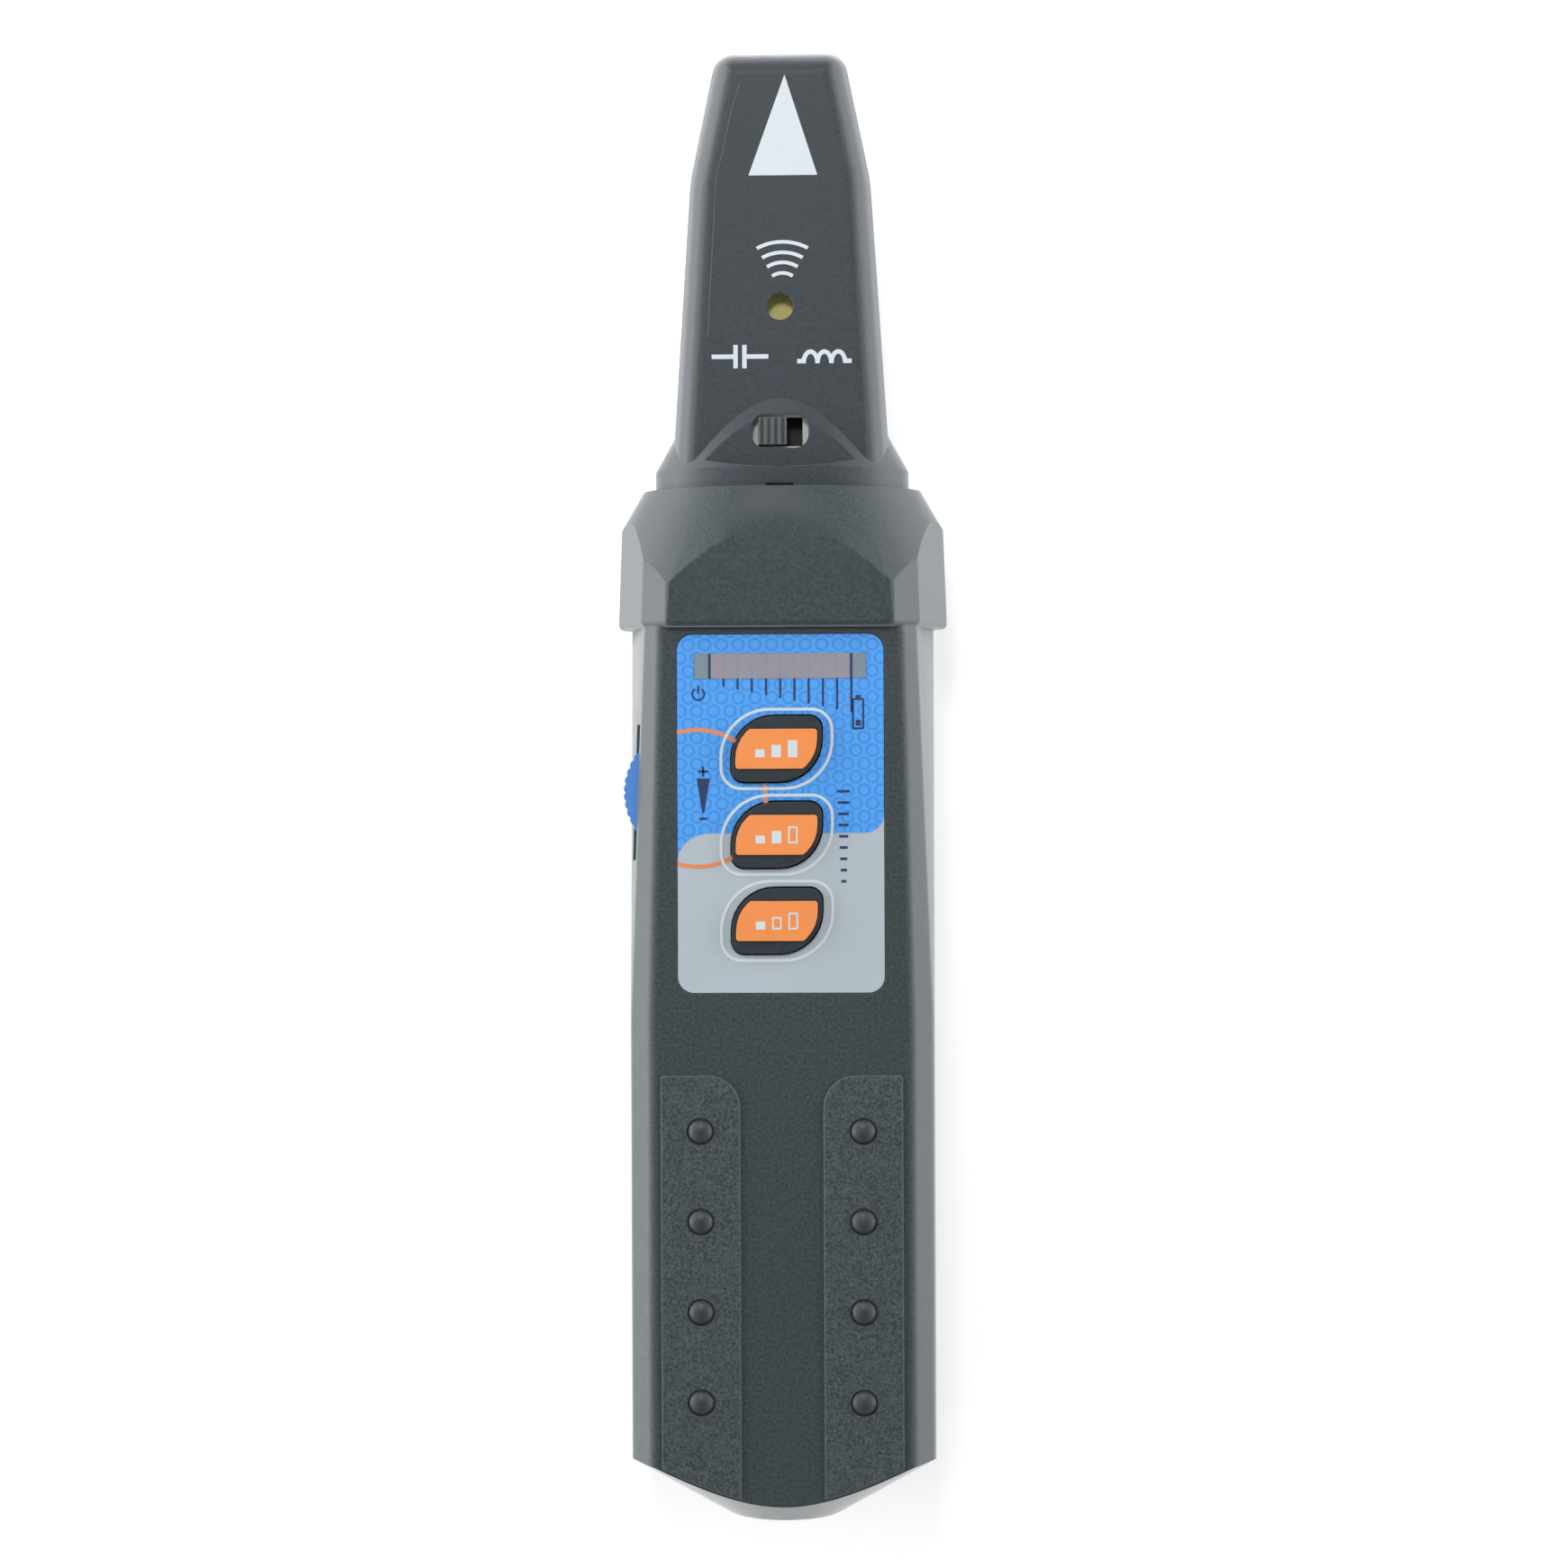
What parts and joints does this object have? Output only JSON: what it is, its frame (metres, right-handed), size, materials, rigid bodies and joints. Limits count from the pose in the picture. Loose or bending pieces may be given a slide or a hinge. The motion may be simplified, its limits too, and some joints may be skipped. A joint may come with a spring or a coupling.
{
  "type": "cable locator",
  "caption": "Hand-held cable locator: slim nose with slide switch and sounder, finger guard, printed panel with bar display, keys and thumbwheel, ribbed grip with rear battery door.",
  "frame": {"origin": "middle of the length and width, on the plane of the flat back", "axes": "+Z out of the front panel, +Y towards the nose tip, +X to the right as seen from the front"},
  "size_m": [0.06, 0.265, 0.035],
  "materials": {
    "case_plastic": "fine grained dark grey",
    "nose_plastic": "fine grained dark grey",
    "label_print": "printed film, blue and grey",
    "clear_plastic": "clear window",
    "indicator_plastic": "diffusing, pinkish grey",
    "board": "solder mask",
    "key_plastic": "black grey",
    "key_colour": "orange",
    "black_plastic": "moulded",
    "white_plastic": "moulded",
    "wheel_plastic": "blue",
    "steel": "plain",
    "brass": "plain",
    "ferrite": "sintered ceramic",
    "copper": "enamelled copper",
    "cable_grey": "insulation",
    "cable_red": "insulation",
    "cable_black": "insulation",
    "battery_case": "plain jacket",
    "foam": "foam"
  },
  "bodies": {
    "housing": {"front_case": "case_plastic", "rear_case": "case_plastic", "nose_front": "nose_plastic", "nose_rear": "nose_plastic", "front_label": "label_print", "display_window": "clear_plastic", "indicator_bar": "indicator_plastic", "power_indicator": "indicator_plastic", "battery_indicator": "indicator_plastic", "main_board": "board", "sensor_board": "board", "key_switches": "black_plastic", "pot_body": "black_plastic", "slide_switch_body": "black_plastic", "slide_switch_frame": "steel", "sounder_disc": "brass", "sounder_ceramic": "white_plastic", "ferrite_rod": "ferrite", "coil_bobbin": "white_plastic", "pickup_coil": "copper", "pickup_plate": "copper", "ribbon_cable": "cable_grey", "battery": "battery_case", "battery_terminals": "steel", "battery_clip": "black_plastic", "red_lead": "cable_red", "black_lead": "cable_black", "battery_foam": "foam", "case_screws": "steel", "nose_screws": "steel", "board_screws": "steel"},
    "high_key_body": {"high_key": "key_plastic", "high_key_face": "key_colour", "high_plunger": "white_plastic"},
    "middle_key_body": {"middle_key": "key_plastic", "middle_key_face": "key_colour", "middle_plunger": "white_plastic"},
    "low_key_body": {"low_key": "key_plastic", "low_key_face": "key_colour", "low_plunger": "white_plastic"},
    "wheel_body": {"thumbwheel": "wheel_plastic", "pot_shaft": "white_plastic"},
    "switch_knob_body": {"slide_switch_knob": "black_plastic"},
    "door_body": {"battery_door": "case_plastic"}
  },
  "joints": [
    {"name": "high_key_press", "type": "slide", "parent": "housing", "child": "high_key_body", "axis": [0, 0, -1], "range_m": [0, 0.0007], "stiffness_N_per_m": 600},
    {"name": "middle_key_press", "type": "slide", "parent": "housing", "child": "middle_key_body", "axis": [0, 0, -1], "range_m": [0, 0.0007], "stiffness_N_per_m": 600},
    {"name": "low_key_press", "type": "slide", "parent": "housing", "child": "low_key_body", "axis": [0, 0, -1], "range_m": [0, 0.0007], "stiffness_N_per_m": 600},
    {"name": "mode_slide", "type": "slide", "parent": "housing", "child": "switch_knob_body", "axis": [1, 0, 0], "range_m": [0, 0.0027]},
    {"name": "fine_wheel_turn", "type": "hinge", "parent": "housing", "child": "wheel_body", "pos_m": [-0.0164, -0.0015, 0.0267], "axis": [0, 0, 1], "range_deg": [-140, 140]},
    {"name": "door_slide_off", "type": "slide", "parent": "housing", "child": "door_body", "axis": [0, -1, 0], "range_m": [0, 0.072]}
  ]
}
